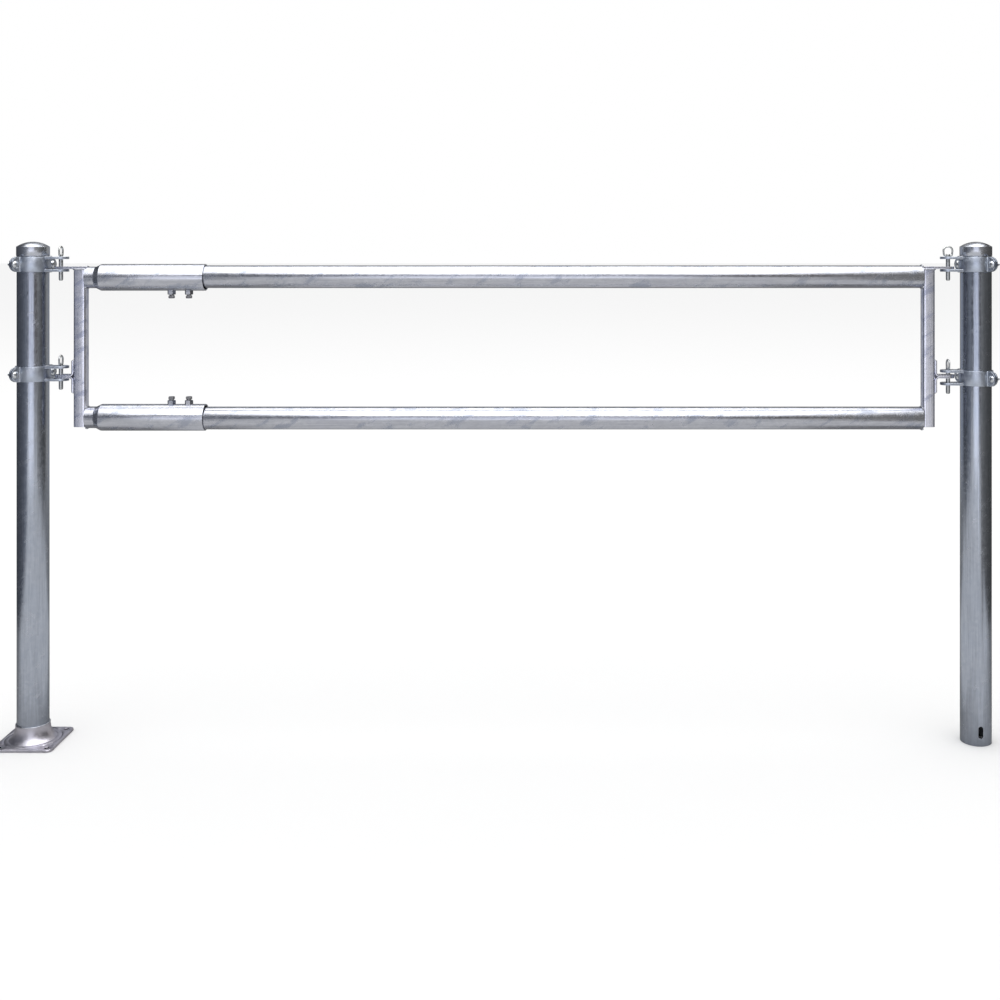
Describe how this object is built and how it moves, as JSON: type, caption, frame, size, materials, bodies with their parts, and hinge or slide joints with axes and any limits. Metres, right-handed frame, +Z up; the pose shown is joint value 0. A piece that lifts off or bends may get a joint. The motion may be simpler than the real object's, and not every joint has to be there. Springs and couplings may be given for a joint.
{
  "type": "telescopic livestock panel gate",
  "caption": "Telescopic tubular livestock gate hung by lift-out pins between clamps on two round galvanised posts, one on a floor plate.",
  "frame": {"origin": "centre of the bolt pattern on the underside of the left post's base plate", "axes": "+X towards the right post, +Y towards the back, +Z up"},
  "size_m": [3.3125, 0.2, 1.667],
  "materials": {
    "post_zinc": "hot-dip galvanised post tube",
    "cap_metal": "bright pressed cap",
    "base_zinc": "hot-dip galvanised forging",
    "clamp_zinc": "hot-dip galvanised clamp",
    "bolt_zinc": "zinc-plated fastener",
    "pin_zinc": "zinc-plated pin and wire",
    "frame_zinc": "hot-dip galvanised upright and lugs",
    "rail_zinc": "hot-dip galvanised rail tube",
    "screw_zinc": "dark zinc set screw"
  },
  "bodies": {
    "left_post_set": {"left_base_plate": "base_zinc", "left_clamp_bolts": "bolt_zinc", "left_clamp_nuts": "bolt_zinc", "left_lower_back_shell": "clamp_zinc", "left_lower_bottom_jaw": "clamp_zinc", "left_lower_hinge_shell": "clamp_zinc", "left_lower_top_jaw": "clamp_zinc", "left_post": "post_zinc", "left_post_cap": "cap_metal", "left_upper_back_shell": "clamp_zinc", "left_upper_bottom_jaw": "clamp_zinc", "left_upper_hinge_shell": "clamp_zinc", "left_upper_top_jaw": "clamp_zinc"},
    "left_frame": {"left_upright": "frame_zinc", "left_upper_lug": "frame_zinc", "left_lower_lug_top_strip": "frame_zinc", "left_lower_lug_bottom_strip": "frame_zinc", "upper_sleeve": "rail_zinc", "lower_sleeve": "rail_zinc", "upper_sleeve_nuts": "rail_zinc", "lower_sleeve_nuts": "rail_zinc"},
    "right_frame": {"right_upright": "frame_zinc", "right_upper_lug": "frame_zinc", "right_lower_lug_top_strip": "frame_zinc", "right_lower_lug_bottom_strip": "frame_zinc", "upper_rail": "rail_zinc", "lower_rail": "rail_zinc"},
    "right_post_set": {"right_clamp_bolts": "bolt_zinc", "right_clamp_nuts": "bolt_zinc", "right_lower_back_shell": "clamp_zinc", "right_lower_bottom_jaw": "clamp_zinc", "right_lower_hinge_shell": "clamp_zinc", "right_lower_top_jaw": "clamp_zinc", "right_post": "post_zinc", "right_post_cap": "cap_metal", "right_upper_back_shell": "clamp_zinc", "right_upper_bottom_jaw": "clamp_zinc", "right_upper_hinge_shell": "clamp_zinc", "right_upper_top_jaw": "clamp_zinc"},
    "left_upper_pin": {"left_upper_pin": "pin_zinc", "left_upper_pin_loop": "pin_zinc"},
    "left_lower_pin": {"left_lower_pin": "pin_zinc", "left_lower_pin_loop": "pin_zinc"},
    "right_upper_pin": {"right_upper_pin": "pin_zinc", "right_upper_pin_loop": "pin_zinc"},
    "right_lower_pin": {"right_lower_pin": "pin_zinc", "right_lower_pin_loop": "pin_zinc"},
    "upper_set_screw_1": {"upper_set_screw_1": "screw_zinc"},
    "upper_set_screw_2": {"upper_set_screw_2": "screw_zinc"},
    "lower_set_screw_1": {"lower_set_screw_1": "screw_zinc"},
    "lower_set_screw_2": {"lower_set_screw_2": "screw_zinc"}
  },
  "joints": [
    {"name": "left_hinge", "type": "hinge", "parent": "left_post_set", "child": "left_frame", "pos_m": [0.093, 0, 1.4], "axis": [0, 0, 1], "range_deg": [-100, 100]},
    {"name": "rail_telescope", "type": "slide", "parent": "left_frame", "child": "right_frame", "axis": [1, 0, 0], "range_m": [-0.09, 0.11]},
    {"name": "right_hinge", "type": "hinge", "parent": "right_frame", "child": "right_post_set", "pos_m": [3.057, 0, 1.4], "axis": [0, 0, 1], "range_deg": [-100, 100]},
    {"name": "left_upper_pin_lift", "type": "slide", "parent": "left_post_set", "child": "left_upper_pin", "axis": [0, 0, 1], "range_m": [0, 0.11]},
    {"name": "left_lower_pin_lift", "type": "slide", "parent": "left_post_set", "child": "left_lower_pin", "axis": [0, 0, 1], "range_m": [0, 0.11]},
    {"name": "right_upper_pin_lift", "type": "slide", "parent": "right_post_set", "child": "right_upper_pin", "axis": [0, 0, 1], "range_m": [0, 0.11]},
    {"name": "right_lower_pin_lift", "type": "slide", "parent": "right_post_set", "child": "right_lower_pin", "axis": [0, 0, 1], "range_m": [0, 0.11]},
    {"name": "upper_set_screw_1_back_out", "type": "slide", "parent": "left_frame", "child": "upper_set_screw_1", "axis": [0, 0, -1], "range_m": [0, 0.008]},
    {"name": "upper_set_screw_2_back_out", "type": "slide", "parent": "left_frame", "child": "upper_set_screw_2", "axis": [0, 0, -1], "range_m": [0, 0.008]},
    {"name": "lower_set_screw_1_back_out", "type": "slide", "parent": "left_frame", "child": "lower_set_screw_1", "axis": [0, 0, 1], "range_m": [0, 0.008]},
    {"name": "lower_set_screw_2_back_out", "type": "slide", "parent": "left_frame", "child": "lower_set_screw_2", "axis": [0, 0, 1], "range_m": [0, 0.008]}
  ]
}
